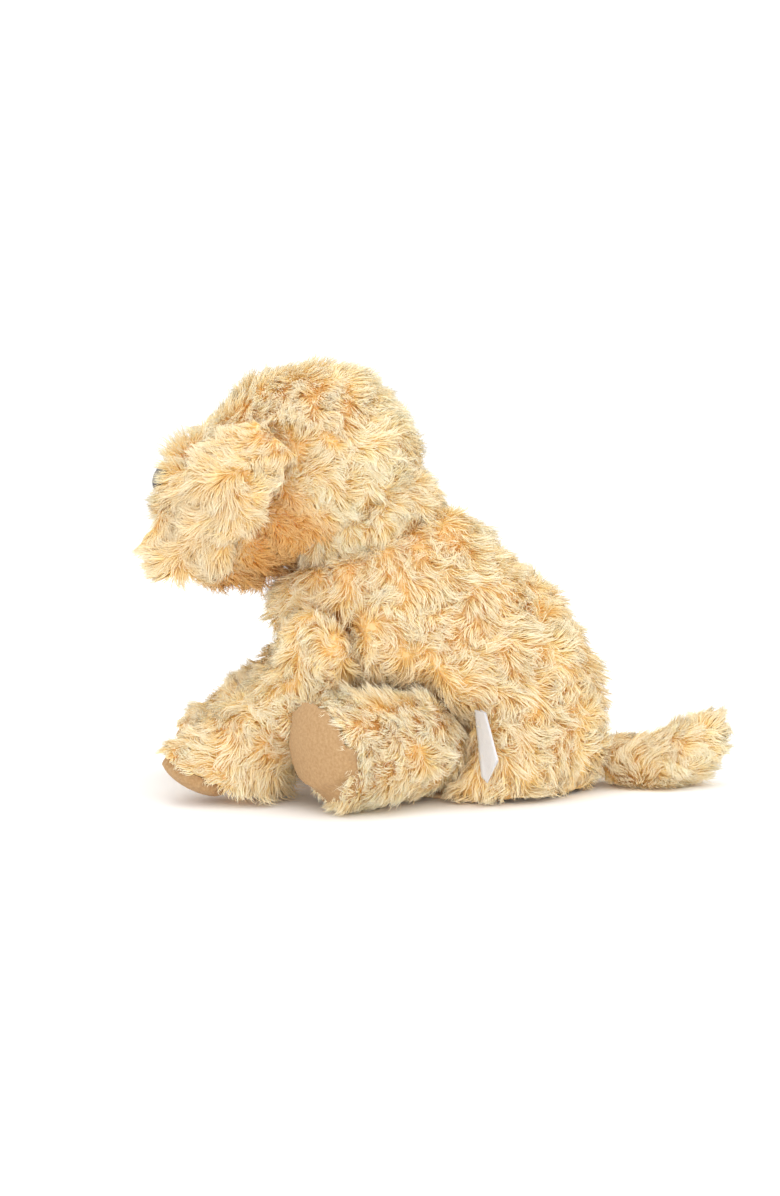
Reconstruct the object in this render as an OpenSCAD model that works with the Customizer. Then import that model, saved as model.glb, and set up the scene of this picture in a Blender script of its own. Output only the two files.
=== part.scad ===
// Seated plush dog with curly fur, sewn from fur panels over loose filling.
// +Z is up, the dog faces -Y and its left side is +X.  The origin is the
// centre line of the seat, on the face that rests on the floor.

/* [Torso] */
// Width of the torso at the hips, without the loose fur tips
torso_w = 146; // [130:2:150]
// Thickness of a torso or head fur panel, backing and dense pile together
pile_t = 8; // [5:0.5:9]
// Thickness of the flat seat panel
seat_t = 3; // [2:0.5:3]

/* [Head] */
// Width of the skull, without the loose fur tips
head_w = 114; // [104:2:118]
// Width of the muzzle at its root
muzzle_w = 86; // [76:2:88]
// Diameter of a plastic eye
eye_d = 11; // [8:0.5:12]
// Width of the nose
nose_w = 25; // [18:1:28]

/* [Ears] */
// Length of an ear from its seam to its tip
ear_l = 100; // [70:2:102]
// Greatest width of an ear
ear_w = 56; // [44:2:58]
// Thickness of the fur side of an ear
ear_t = 7; // [4:0.5:8]

/* [Legs and tail] */
// Thickness of a leg's fur tube
leg_pile_t = 7; // [4:0.5:8]
// Angle between a hind leg and straight ahead, seen from above
hind_splay = 36; // [32:1:40]
// Thickness of a suede sole at its middle
sole_t = 3.6; // [2.5:0.1:3.8]
// Thickness of the tail's fur tube
tail_pile_t = 5; // [3:0.5:6]

/* [Care label] */
// Width of the folded label
label_w = 19; // [16:1:26]
// Length of the folded label
label_l = 42; // [30:1:44]

/* [Hidden] */

seg = 36;          // facets round a lofted solid
fit = 0.4;         // gap between a skin and its filling
seam = 0.25;       // half the seam gap between two panels, in degrees

fur_c = [0.90, 0.78, 0.56];
fill_c = [0.96, 0.96, 0.94];
suede_c = [0.80, 0.65, 0.47];
lining_c = [0.93, 0.84, 0.66];

// ---- joint centres ----
neck_c = [0, -72.2, 157.7];      // middle of the neck seam
shoulder_c = [46, -109, 86];     // left front leg
hip_c = [54, -46, 34];           // left hind leg
tail_c = [0, 76, 16];            // tail root
ear_c = [54, -123, 213];         // middle of the left ear's seam

// ---- vectors and points ----
function unit(v) = v / norm(v);
function dir_yz(a) = [0, -cos(a), -sin(a)];      // ahead, turned a degrees down
// A ring: centre, two unit vectors, two radii, and the core point that an
// inset moves towards.  The first vector crossed with the second points along
// the loft.
function ring(c, a, b, ra, rb, q) = [c, a, b, ra, rb, q];
// The near side of each ball, seen from q, is where a skin stops
function stop_at(q, w, l, balls, off, i = 0) =
    i >= len(balls) ? l :
    let (n = balls[i][0] - q, r = balls[i][1] + off, b = w * n,
         d = b * b - (n * n - r * r),
         s = d > 0 && b > 0 ? b - sqrt(d) : 1e6)
    stop_at(q, w, min(l, max(s, 1)), balls, off, i + 1);
function ring_pt(r, ang, off, balls) =
    let (p = r[0] + r[1] * r[3] * cos(ang) + r[2] * r[4] * sin(ang),
         w = unit(p - r[5]), l = norm(p - r[5]) - off)
    r[5] + w * stop_at(r[5], w, l, balls, off);
function loop(r, off, balls) =
    [for (i = [0:seg - 1]) ring_pt(r, i * 360 / seg, off, balls)];
function mean(l) = [for (k = [0:2]) [for (p = l) p[k]] * [for (p = l) 1] / len(l)];
// Two triangles; f picks the other diagonal, so that left and right match
function quad(a, b, c, d, f = false) = f ? [[a, d, b], [b, d, c]] : [[a, c, b], [a, d, c]];
function far_side(i, n) = cos((i + 0.5) * 360 / n) < 0;

// A closed solid through a list of loops, each end drawn to its middle
module skin(loops) {
    n = len(loops[0]);
    m = len(loops);
    pts = concat([for (l = loops) each l], [mean(loops[0]), mean(loops[m - 1])]);
    faces = concat(
        [for (i = [0:n - 1]) [m * n, i, (i + 1) % n]],
        [for (j = [0:m - 2]) for (i = [0:n - 1])
            each quad(j * n + i, j * n + (i + 1) % n,
                      (j + 1) * n + (i + 1) % n, (j + 1) * n + i, far_side(i, n))],
        [for (i = [0:n - 1]) [m * n + 1, (m - 1) * n + (i + 1) % n, (m - 1) * n + i]]);
    polyhedron(pts, faces, convexity = 10);
}
// A tube with a wall between two lists of loops; tip closes its far end
module tube(outer, inner, tip = false) {
    n = len(outer[0]);
    m = len(outer);
    q = m * n;
    pts = concat([for (l = outer) each l], [for (l = inner) each l],
                 [mean(outer[m - 1]), mean(inner[m - 1])]);
    faces = concat(
        [for (j = [0:m - 2]) for (i = [0:n - 1])
            each quad(j * n + i, j * n + (i + 1) % n,
                      (j + 1) * n + (i + 1) % n, (j + 1) * n + i, far_side(i, n))],
        [for (j = [0:m - 2]) for (i = [0:n - 1])
            each quad(q + j * n + i, q + (j + 1) * n + i,
                      q + (j + 1) * n + (i + 1) % n, q + j * n + (i + 1) % n, far_side(i, n))],
        [for (i = [0:n - 1]) each quad((i + 1) % n, i, q + i, q + (i + 1) % n)],
        tip ? concat(
            [for (i = [0:n - 1]) [2 * q, (m - 1) * n + (i + 1) % n, (m - 1) * n + i]],
            [for (i = [0:n - 1]) [2 * q + 1, q + (m - 1) * n + i, q + (m - 1) * n + (i + 1) % n]])
        : [for (i = [0:n - 1]) each quad((m - 1) * n + i, (m - 1) * n + (i + 1) % n,
            q + (m - 1) * n + (i + 1) % n, q + (m - 1) * n + i)]);
    polyhedron(tip ? pts : [for (i = [0:2 * q - 1]) pts[i]], faces, convexity = 10);
}
// A panel with a wall between two grids of points.  turn is the column where
// the diagonals turn over, negative where they turn back.
module panel(outer, inner, turn = 1e6) {
    m = len(outer);
    n = len(outer[0]);
    q = m * n;
    pts = concat([for (r = outer) each r], [for (r = inner) each r]);
    faces = concat(
        [for (j = [0:m - 2]) for (i = [0:n - 2])
            each quad(j * n + i, j * n + i + 1, (j + 1) * n + i + 1, (j + 1) * n + i,
                      turn < 0 ? i < -turn : i >= turn)],
        [for (j = [0:m - 2]) for (i = [0:n - 2])
            each quad(q + j * n + i, q + (j + 1) * n + i,
                      q + (j + 1) * n + i + 1, q + j * n + i + 1,
                      turn < 0 ? i < -turn : i >= turn)],
        [for (i = [0:n - 2]) each quad(i + 1, i, q + i, q + i + 1)],
        [for (i = [0:n - 2]) each quad((m - 1) * n + i, (m - 1) * n + i + 1,
            q + (m - 1) * n + i + 1, q + (m - 1) * n + i)],
        [for (j = [0:m - 2]) each quad(j * n, (j + 1) * n, q + (j + 1) * n, q + j * n)],
        [for (j = [0:m - 2]) each quad((j + 1) * n + n - 1, j * n + n - 1,
            q + j * n + n - 1, q + (j + 1) * n + n - 1)]);
    polyhedron(pts, faces, convexity = 10);
}
// The angles of a sector, with a seam gap at both ends
function sector(a0, a1) =
    let (k = (a1 - a0) * seg / 360)
    [for (i = [0:k]) i == 0 ? a0 + seam : i == k ? a1 - seam : a0 + i * 360 / seg];
module sector_panel(rings, a0, a1, t, balls, turn = 1e6) {
    panel([for (r = rings) [for (a = sector(a0, a1)) ring_pt(r, a, 0, balls)]],
          [for (r = rings) [for (a = sector(a0, a1)) ring_pt(r, a, t, balls)]], turn);
}
module both_sides() { children(); mirror([1, 0, 0]) children(); }

// ---- torso ----
// Back Y and Z, front Y and Z, and half width, from the seat to the neck
torso_table = [
    [60, 3.4, -76, 3.4, 62], [67, 12, -84, 10, 69.5], [69.5, 28, -92, 22, 73],
    [67, 50, -102, 38, 73], [61, 73, -114, 56, 70], [52, 96, -124, 75, 66],
    [38, 118, -130, 93, 61], [20, 138, -129, 109, 57], [0, 152, -126, 119, 54],
    [-17, 161.5, -121, 126, 51], [-25.8, 168, -113.4, 133.9, 47]];
torso_rings = [for (s = torso_table)
    let (k = [0, s[0], s[1]], f = [0, s[2], s[3]], c = (k + f) / 2)
    ring(c, [1, 0, 0], unit(k - f), s[4] * torso_w / 146, norm(k - f) / 2, c)];
// Hollows in the torso where the limbs are sewn on
hind_dir = [sin(hind_splay), -cos(hind_splay), 0];
function flip(v) = [-v[0], v[1], v[2]];
left_hollows = [[hip_c, 34], [hip_c + 15 * hind_dir, 36.4],
                [hip_c + [16, -4, 0], 33.5], [shoulder_c, 30.5],
                [shoulder_c + [0, -12, -12], 30]];
torso_balls = concat(left_hollows, [for (b = left_hollows) [flip(b[0]), b[1]]],
                     [[tail_c, 17.5]]);
// Cup for the neck: radius and depth below the neck seam's middle
cup_axis = [0, -0.362, 0.932];
cup_table = [[30, 13], [24, 16.5], [17, 20], [8, 24.5]];
cup_rings = [for (s = cup_table)
    let (c = neck_c - s[1] * cup_axis)
    ring(c, [1, 0, 0], [0, 0.932, 0.362], s[0], s[0], c)];

module seat_panel() {
    color(suede_c) linear_extrude(height = seat_t)
        polygon([for (a = [0:5:355]) [61.5 * torso_w / 146 * cos(a), -8 + 67.5 * sin(a)]]);
}
module torso_side_left() {
    color(fur_c) sector_panel(torso_rings, -60, 90, pile_t, torso_balls);
}
module torso_side_right() mirror([1, 0, 0]) torso_side_left();
module belly_gusset() {
    color(fur_c) sector_panel(torso_rings, 240, 300, pile_t, torso_balls, -seg / 12);
}
module torso_filling() {
    color(fill_c) skin(concat(
        [for (j = [2:10]) loop(torso_rings[j], pile_t + fit, torso_balls)],
        [for (r = cup_rings) loop(r, 0, [])]));
}
// A flat bag of pellets that keeps the toy sitting, under the filling
pouch_table = [[24, 0], [34, 1.2], [37, 6], [35, 11.5], [26, 15], [10, 16]];
module pouch(off) {
    skin([for (s = pouch_table)
        let (z = 4 + min(max(s[1], off), 16 - off),
             r = max(s[0] - off, 4), c = [0, 6, z])
        loop(ring(c, [1, 0, 0], [0, 1, 0], r, r * 1.08, c), 0, [])]);
}
module bean_pouch() {
    color([0.85, 0.85, 0.82]) difference() { pouch(0); pouch(1.2); }
}
module bean_pellets() { color([0.75, 0.75, 0.72]) pouch(1.6); }

// ---- neck ----
module neck_filling() {
    color(fill_c) skin([for (a = [-80:20:80])
        let (c = neck_c + 20 * sin(a) * [0, -0.518, 0.855])
        loop(ring(c, [1, 0, 0], [0, 0.855, 0.518], 20 * cos(a), 20 * cos(a), c), 0, [])]);
}

// ---- head ----
head_c = [0, -96, 197];
face = [0, -0.927, -0.375];      // from the skull towards the nose
crown = [0, -0.375, 0.927];      // across it, towards the top
function on_head(x, t, g) = head_c + [x, 0, 0] + t * face + g * crown;
// Distance along the face line, offset towards the crown, height, half width
head_table = [
    [-56, 0, 7, 7], [-51, 0, 25, 26], [-42, 0, 38, 40], [-28, 0, 49, 51],
    [-10, 0, 56, 57], [8, 0, 56.5, 57], [25, 0, 52.5, 54], [40, 0, 48.5, 48.5],
    [52, 1, 46.5, 43], [64, 1, 45, 40], [76, 0, 42, 37.5], [86, -1, 37.5, 34],
    [94, -2, 31, 28], [100, -3, 21, 19], [103, -4, 9, 8]];
head_rings = [for (s = head_table)
    ring(on_head(0, s[0], s[1]), [1, 0, 0], crown,
         s[3] * (s[0] < 30 ? head_w / 114 : s[0] < 50 ? (head_w / 114 + muzzle_w / 86) / 2 : muzzle_w / 86),
         s[2], on_head(0, min(max(s[0], -20), 74), s[1]))];
head_balls = [[neck_c, 24.5]];
skull = [for (j = [0:8]) head_rings[j]];
muzzle = [for (j = [8:14]) head_rings[j]];
module head_side_left() { color(fur_c) sector_panel(skull, -90, 60, pile_t, head_balls); }
module head_side_right() mirror([1, 0, 0]) head_side_left();
module head_gusset() { color(fur_c) sector_panel(skull, 60, 120, pile_t, head_balls, seg / 12); }
module muzzle_panel() {
    color(fur_c) translate(0.4 * face)
        tube([for (r = muzzle) loop(r, 0, [])], [for (r = muzzle) loop(r, pile_t, [])], true);
}
module head_filling() {
    color(fill_c) skin([for (r = head_rings) loop(r, pile_t + fit, head_balls)]);
}

// ---- eyes and nose, each a moulded part on a stem with a washer behind ----
module aim(p, n) {
    translate(p) rotate([0, acos(n[2] / norm(n)), atan2(n[1], n[0])]) children();
}
eye_n = unit([0.85, 0, 0] + 0.28 * face + 0.45 * crown);
eye_p = on_head(37.9, 46, 24);
module eye() {
    aim(eye_p, eye_n) rotate_extrude($fn = 48)
        polygon(concat([[0, -13], [1.6, -13], [1.6, 0.2], [eye_d / 2 - 0.6, 0.2]],
            [for (a = [0:10:90]) [eye_d / 2 * cos(a), 0.9 + 3 * sin(a)]]));
}
module washer(r) {
    rotate_extrude($fn = 48)
        polygon([[1.7, 0], [r, 0], [r, 1], [r - 0.6, 1.5], [2.6, 1.5], [1.7, 1.1]]);
}
module eye_left() { color([0.05, 0.04, 0.04]) eye(); }
module eye_right() { color([0.05, 0.04, 0.04]) mirror([1, 0, 0]) eye(); }
module eye_washers() {
    color([0.9, 0.9, 0.88]) both_sides() aim(eye_p - 11.5 * eye_n, eye_n) washer(6.5);
}
nose_n = unit(0.74 * face + 0.67 * crown);
nose_p = on_head(0, 95.5, 26);
module nose() {
    color([0.16, 0.14, 0.14]) {
        n = nose_n;
        b = [0, -n[2], n[1]];
        skin([for (s = [[0, 0.42], [0.6, 0.5], [3, 0.5], [5.2, 0.42], [6.6, 0.27], [7.2, 0.1]])
            let (c = nose_p + s[0] * n, r = nose_w * s[1])
            loop(ring(c, [1, 0, 0], -b, r, r * 0.66, c), 0, [])]);
    }
}
module nose_washer() {
    color([0.9, 0.9, 0.88]) union() {
        aim(nose_p - 12.5 * nose_n, nose_n) washer(7);
        aim(nose_p - 13.5 * nose_n, nose_n) cylinder(r = 1.75, h = 13.4, $fn = 32);
    }
}

// ---- ears: a fur side and a short-pile lining, hinged on the head seam ----
ear_axis = [-0.427, -0.695, 0.576];
ear_dir = unit([-0.05, -0.68, -0.73]);
ear_out = unit(cross(ear_axis, ear_dir));
// Fraction of the length, fraction of the width, bow away from the head
ear_table = [[0, 0.56, 0], [0.06, 0.7, 1.2], [0.2, 0.86, 2.5], [0.4, 0.97, 3],
             [0.6, 1, 2], [0.78, 0.94, 0.4], [0.9, 0.74, -0.6], [0.97, 0.44, -1],
             [1, 0.12, -1.2]];
function ear_pt(s, v, o) =
    let (k = sqrt(1 - min(0.96, v * v * 0.9)))
    ear_c + ear_dir * ear_l * s[0] + ear_axis * ear_w / 2 * s[1] * v * (v < 0 ? 0.82 : 1)
    + ear_out * (s[2] + o - 3 * v * v * s[1]);
module ear_plate(o0, o1) {
    vs = [-1, -0.92, -0.7, -0.35, 0, 0.35, 0.7, 0.92, 1];
    panel([for (s = ear_table) [for (v = vs)
              ear_pt(s, v, o1 - (abs(v) > 0.95 ? 0.3 * (o1 - o0) : 0))]],
          [for (s = ear_table) [for (v = vs) ear_pt(s, v, o0)]]);
}
module ear_fur() { color(fur_c) ear_plate(3.1, 3.1 + ear_t); }
module ear_lining() { color(lining_c) ear_plate(0.6, 2.8); }
module ear_left_fur() ear_fur();
module ear_left_lining() ear_lining();
module ear_right_fur() mirror([1, 0, 0]) ear_fur();
module ear_right_lining() mirror([1, 0, 0]) ear_lining();

// ---- front legs: outward shift, Y and Z of the middle, slope, radius ----
front_table = [
    [0, -90.6, 104.4, 45, 5], [0, -92.7, 102.3, 45, 13.5], [0, -97.7, 97.3, 45, 21],
    [0, -104.7, 90.3, 45, 25.6], [0, -114.6, 80.4, 45, 27], [1, -126, 69, 45, 27],
    [2, -137.3, 57.9, 46, 26.6], [3, -149, 46, 49, 26.2], [4.5, -158.6, 35.4, 54, 26],
    [5.5, -165.6, 26.4, 60, 25.6], [6, -170, 18.8, 63, 24], [6, -172, 14.9, 63, 21.2]];
front_rings = [for (j = [0:11])
    let (s = front_table[j], k = front_table[min(max(j, 3), 9)],
         d = dir_yz(s[3]))
    ring([shoulder_c[0] + s[0], s[1], s[2]], [1, 0, 0], [0, -sin(s[3]), cos(s[3])],
         s[4], s[4], [shoulder_c[0] + k[0], k[1], k[2]])];
// A domed sole on the last ring of a leg
module sole(r) {
    d = cross(r[1], r[2]);
    color(suede_c) skin([for (s = [[0.3, 0], [1.2, -0.4], [0.62 * sole_t, 2.2], [sole_t * 0.92, 7], [sole_t, 14]])
        let (c = r[0] + s[0] * d) loop(ring(c, r[1], r[2], r[3] - s[1], r[4] - s[1], c), 0, [])]);
}
module leg_fur(rings, t) {
    k = [for (j = [3:len(rings) - 1]) rings[j]];
    color(fur_c) tube([for (r = k) loop(r, 0, [])],
        [for (r = k) let (q = ring(r[0], r[1], r[2], r[3], r[4], r[0])) loop(q, t, [])]);
}
module leg_filling(rings, t) {
    n = len(rings);
    color(fill_c) skin(concat([for (j = [0:2]) loop(rings[j], 1.2, [])],
        [for (j = [3:n - 1]) let (r = rings[j], q = ring(r[0], r[1], r[2], r[3], r[4], r[0]))
            loop(q, t + fit, [])]));
}
module front_leg_left_fur() leg_fur(front_rings, leg_pile_t);
module front_leg_left_filling() leg_filling(front_rings, leg_pile_t);
module front_leg_left_sole() sole(front_rings[11]);
module front_leg_right_fur() mirror([1, 0, 0]) front_leg_left_fur();
module front_leg_right_filling() mirror([1, 0, 0]) front_leg_left_filling();
module front_leg_right_sole() mirror([1, 0, 0]) front_leg_left_sole();

// ---- hind legs: distance from the hip, half width, half height, lean ----
hind_table = [
    [-28.5, 5, 5, 0], [-26, 13, 13, 0], [-18.5, 22.5, 22.5, 0], [-7, 28, 28.5, 0],
    [7, 29, 30.5, 0], [21, 28.5, 31.5, 0], [36, 28, 32, 2], [50, 28, 32, 5],
    [58.5, 28, 32.4, 8], [62, 26.5, 31, 9]];
hind_rings = [for (j = [0:9])
    let (s = hind_table[j], k = hind_table[min(max(j, 3), 8)], z = [0, 0, 1])
    ring(hip_c + s[0] * hind_dir, [cos(hind_splay), sin(hind_splay), 0],
         z * cos(s[3]) + hind_dir * sin(s[3]), s[1], s[2], hip_c + k[0] * hind_dir)];
module hind_leg_left_fur() leg_fur(hind_rings, leg_pile_t);
module hind_leg_left_filling() leg_filling(hind_rings, leg_pile_t);
module hind_leg_left_sole() sole(hind_rings[9]);
module hind_leg_right_fur() mirror([1, 0, 0]) hind_leg_left_fur();
module hind_leg_right_filling() mirror([1, 0, 0]) hind_leg_left_filling();
module hind_leg_right_sole() mirror([1, 0, 0]) hind_leg_left_sole();

// ---- tail: Y and Z of the middle, upward slope, radius ----
tail_table = [
    [63.5, 16, 0, 4], [66.5, 16, 0, 9.5], [72, 16, 0, 13], [81, 16.5, 2, 15],
    [92, 17.5, 6, 16.4], [104, 19.5, 14, 17.2], [115, 23.5, 26, 17], [124, 29.5, 38, 15.6],
    [131, 36.5, 48, 13], [135.5, 42, 54, 9], [138, 45.5, 54, 4]];
tail_rings = [for (j = [0:10])
    let (s = tail_table[j], k = tail_table[min(max(j, 2), 8)])
    ring([0, s[0], s[1]], [1, 0, 0], [0, sin(s[2]), -cos(s[2])], s[3], s[3],
         [0, k[0], k[1]])];
module tail_fur() {
    k = [for (j = [2:10]) tail_rings[j]];
    color(fur_c) tube([for (r = k) loop(r, 0, [])],
                      [for (r = k) loop(r, min(tail_pile_t, r[3] - 1), [])], true);
}
module tail_filling() {
    color(fill_c) skin(concat([for (j = [0:1]) loop(tail_rings[j], 1, [])],
        [for (j = [2:9]) loop(tail_rings[j], min(tail_pile_t, tail_rings[j][3] - 1.8) + fit, [])]));
}

// ---- care label: a folded satin strip sewn into the left side seam ----
label_p = [78.5, -4, 60];
module label_leaf(w, l, x0, t, cut) {
    translate(label_p + [x0, 0, 0]) rotate([-8, 0, 0]) rotate([90, 0, 90])
        linear_extrude(height = t)
            polygon([[-w / 2, 0], [-w / 2, cut - l], [-w / 2 + 4, -l], [w / 2 - 2, cut - l + 2], [w / 2, 0]]);
}
module care_label() { color([0.96, 0.96, 0.97]) label_leaf(label_w, label_l, 0.6, 0.8, 5); }
module label_insert() {
    color([0.93, 0.93, 0.95]) translate([0, 3, 0]) label_leaf(label_w - 4, label_l - 5, -0.5, 0.7, 3);
}

seat_panel();
torso_side_left();
torso_side_right();
belly_gusset();
torso_filling();
bean_pouch();
bean_pellets();
neck_filling();
head_side_left();
head_side_right();
head_gusset();
muzzle_panel();
head_filling();
eye_left();
eye_right();
eye_washers();
nose();
nose_washer();
ear_left_fur();
ear_left_lining();
ear_right_fur();
ear_right_lining();
front_leg_left_fur();
front_leg_left_filling();
front_leg_left_sole();
front_leg_right_fur();
front_leg_right_filling();
front_leg_right_sole();
hind_leg_left_fur();
hind_leg_left_filling();
hind_leg_left_sole();
hind_leg_right_fur();
hind_leg_right_filling();
hind_leg_right_sole();
tail_fur();
tail_filling();
care_label();
label_insert();
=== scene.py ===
import math

import bmesh
import bpy
import numpy as np
from mathutils import Matrix, Vector, kdtree, noise


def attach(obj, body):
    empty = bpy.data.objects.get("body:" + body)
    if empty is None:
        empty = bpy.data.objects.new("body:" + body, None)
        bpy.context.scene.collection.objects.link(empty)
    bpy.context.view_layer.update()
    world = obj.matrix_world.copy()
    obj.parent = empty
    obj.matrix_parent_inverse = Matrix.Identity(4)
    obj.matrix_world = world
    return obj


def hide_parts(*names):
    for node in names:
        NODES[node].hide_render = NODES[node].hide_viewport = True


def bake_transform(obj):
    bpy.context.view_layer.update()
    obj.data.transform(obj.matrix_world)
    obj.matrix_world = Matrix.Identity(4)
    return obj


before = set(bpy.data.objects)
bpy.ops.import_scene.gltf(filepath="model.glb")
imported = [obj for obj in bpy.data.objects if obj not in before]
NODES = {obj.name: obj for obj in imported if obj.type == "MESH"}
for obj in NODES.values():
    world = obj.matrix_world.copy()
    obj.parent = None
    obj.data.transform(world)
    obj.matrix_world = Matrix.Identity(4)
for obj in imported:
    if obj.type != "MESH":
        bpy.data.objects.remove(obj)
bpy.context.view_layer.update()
SC = bpy.context.scene
COLL = SC.collection
MM = 0.001


# ---------------------------------------------------------------- helpers
def unit(a):
    a = np.asarray(a, float)
    return a / np.maximum(np.linalg.norm(a, axis=-1, keepdims=True), 1e-12)


def smooth01(x, lo, hi):
    t = np.clip((x - lo) / (hi - lo), 0, 1)
    return t * t * (3 - 2 * t)


def new_object(name, mesh):
    ob = bpy.data.objects.new(name, mesh)
    COLL.objects.link(ob)
    return ob


def mesh_arrays(me):
    v = np.empty(len(me.vertices) * 3, np.float32)
    me.vertices.foreach_get("co", v)
    me.calc_loop_triangles()
    f = np.empty(len(me.loop_triangles) * 3, np.int32)
    me.loop_triangles.foreach_get("vertices", f)
    return v.reshape(-1, 3).astype(float), f.reshape(-1, 3)


def vertex_normals(V, F):
    n = np.cross(V[F[:, 1]] - V[F[:, 0]], V[F[:, 2]] - V[F[:, 0]])
    out = np.zeros_like(V)
    for k in range(3):
        for c in range(3):
            out[:, c] += np.bincount(F[:, k], weights=n[:, c], minlength=len(V))
    return unit(out)


def set_coords(me, V):
    me.vertices.foreach_set("co", np.asarray(V, np.float32).ravel())
    me.update()


def biggest_island(me):
    """Keeps the connected part with the largest box, so no inner leftovers stay."""
    bm = bmesh.new()
    bm.from_mesh(me)
    seen, best = set(), None
    for v in bm.verts:
        if v.index in seen:
            continue
        stack, part = [v], []
        seen.add(v.index)
        while stack:
            a = stack.pop()
            part.append(a)
            for e in a.link_edges:
                b = e.other_vert(a)
                if b.index not in seen:
                    seen.add(b.index)
                    stack.append(b)
        co = np.array([p.co for p in part])
        size = float(np.prod(co.max(0) - co.min(0) + 1e-6))
        if best is None or size > best[0]:
            best = (size, {p.index for p in part})
    drop = [v for v in bm.verts if v.index not in best[1]]
    if drop:
        bmesh.ops.delete(bm, geom=drop, context="VERTS")
    bm.to_mesh(me)
    bm.free()
    me.update()


def union_skin(name, nodes, voxel, smooth=6):
    """One closed skin round several CAD nodes, by voxel remesh of their copied meshes."""
    verts, faces, base = [], [], 0
    for n in nodes:
        V, F = mesh_arrays(NODES[n].data)
        verts.append(V)
        faces.append(F + base)
        base += len(V)
    me = bpy.data.meshes.new(name)
    me.from_pydata(np.concatenate(verts).tolist(), [], np.concatenate(faces).tolist())
    ob = new_object(name, me)
    m = ob.modifiers.new("remesh", "REMESH")
    m.mode = "VOXEL"
    m.voxel_size = voxel
    m.adaptivity = 0
    if smooth:
        s = ob.modifiers.new("smooth", "SMOOTH")
        s.factor = 0.5
        s.iterations = smooth
    dg = bpy.context.evaluated_depsgraph_get()
    out = bpy.data.meshes.new_from_object(ob.evaluated_get(dg))
    ob.modifiers.clear()
    ob.data = out
    out.name = name
    bpy.data.meshes.remove(me)
    biggest_island(out)
    return ob


def inflate(ob, cap, pressure=4.0, frames=14):
    """Cloth with air pressure, its result applied, no point moved further than cap."""
    me = ob.data
    rest, _ = mesh_arrays(me)
    work = new_object(ob.name + "_sim", me.copy())
    c = work.modifiers.new("cloth", "CLOTH")
    st = c.settings
    st.quality = 4
    st.mass = 0.25
    st.tension_stiffness = 12
    st.compression_stiffness = 12
    st.shear_stiffness = 6
    st.bending_stiffness = 0.4
    st.use_pressure = True
    st.uniform_pressure_force = pressure
    st.effector_weights.gravity = 0
    c.collision_settings.use_collision = False
    c.point_cache.frame_start = 1
    c.point_cache.frame_end = frames
    for f in range(1, frames + 1):
        SC.frame_set(f)
    dg = bpy.context.evaluated_depsgraph_get()
    got = bpy.data.meshes.new_from_object(work.evaluated_get(dg))
    V, _ = mesh_arrays(got)
    SC.frame_set(1)
    if len(V) == len(rest) and np.isfinite(V).all():
        d = V - rest
        l = np.linalg.norm(d, axis=1, keepdims=True)
        set_coords(me, rest + d * np.minimum(1, cap / np.maximum(l, 1e-9)))
    bpy.data.objects.remove(work)
    bpy.data.meshes.remove(got)
    return ob


def inset(ob, dist):
    """Moves a skin inwards by dist, a number or a function of the points."""
    V, F = mesh_arrays(ob.data)
    N = vertex_normals(V, F)
    d = dist(V, N) if callable(dist) else dist
    V = V - N * np.reshape(d, (-1, 1))
    V[:, 2] = np.maximum(V[:, 2], 0.0006)
    set_coords(ob.data, V)


# ---------------------------------------------------------------- materials
def material(name):
    m = bpy.data.materials.new(name)
    m.use_nodes = True
    nt = m.node_tree
    return m, nt, nt.nodes["Principled BSDF"]


def node(nt, kind, **inputs):
    n = nt.nodes.new(kind)
    for k, v in inputs.items():
        n.inputs[k.replace("_", " ")].default_value = v
    return n


def ramp(nt, fac, stops):
    r = nt.nodes.new("ShaderNodeValToRGB")
    e = r.color_ramp.elements
    while len(e) < len(stops):
        e.new(0.5)
    for k, (p, c) in enumerate(stops):
        e[k].position = p
        e[k].color = (*c, 1)
    nt.links.new(fac, r.inputs["Fac"])
    return r


def noise_mat(name, scale, detail, stops, rough, bump, bump_scale=None, sheen=0.0, spec=0.3, coord="Object"):
    m, nt, b = material(name)
    tc = nt.nodes.new("ShaderNodeTexCoord")
    n = node(nt, "ShaderNodeTexNoise", Scale=scale, Detail=detail, Roughness=0.6)
    nt.links.new(tc.outputs[coord], n.inputs["Vector"])
    r = ramp(nt, n.outputs["Fac"], stops)
    nt.links.new(r.outputs["Color"], b.inputs["Base Color"])
    if bump:
        n2 = node(nt, "ShaderNodeTexNoise", Scale=bump_scale or scale * 4, Detail=4.0, Roughness=0.7)
        nt.links.new(tc.outputs[coord], n2.inputs["Vector"])
        bp = node(nt, "ShaderNodeBump", Strength=bump, Distance=0.0004)
        nt.links.new(n2.outputs["Fac"], bp.inputs["Height"])
        nt.links.new(bp.outputs["Normal"], b.inputs["Normal"])
    b.inputs["Roughness"].default_value = rough
    b.inputs["Specular IOR Level"].default_value = spec
    if sheen:
        b.inputs["Sheen Weight"].default_value = sheen
        b.inputs["Sheen Roughness"].default_value = 0.5
        b.inputs["Sheen Tint"].default_value = (1.0, 0.93, 0.8, 1)
    return m


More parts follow.
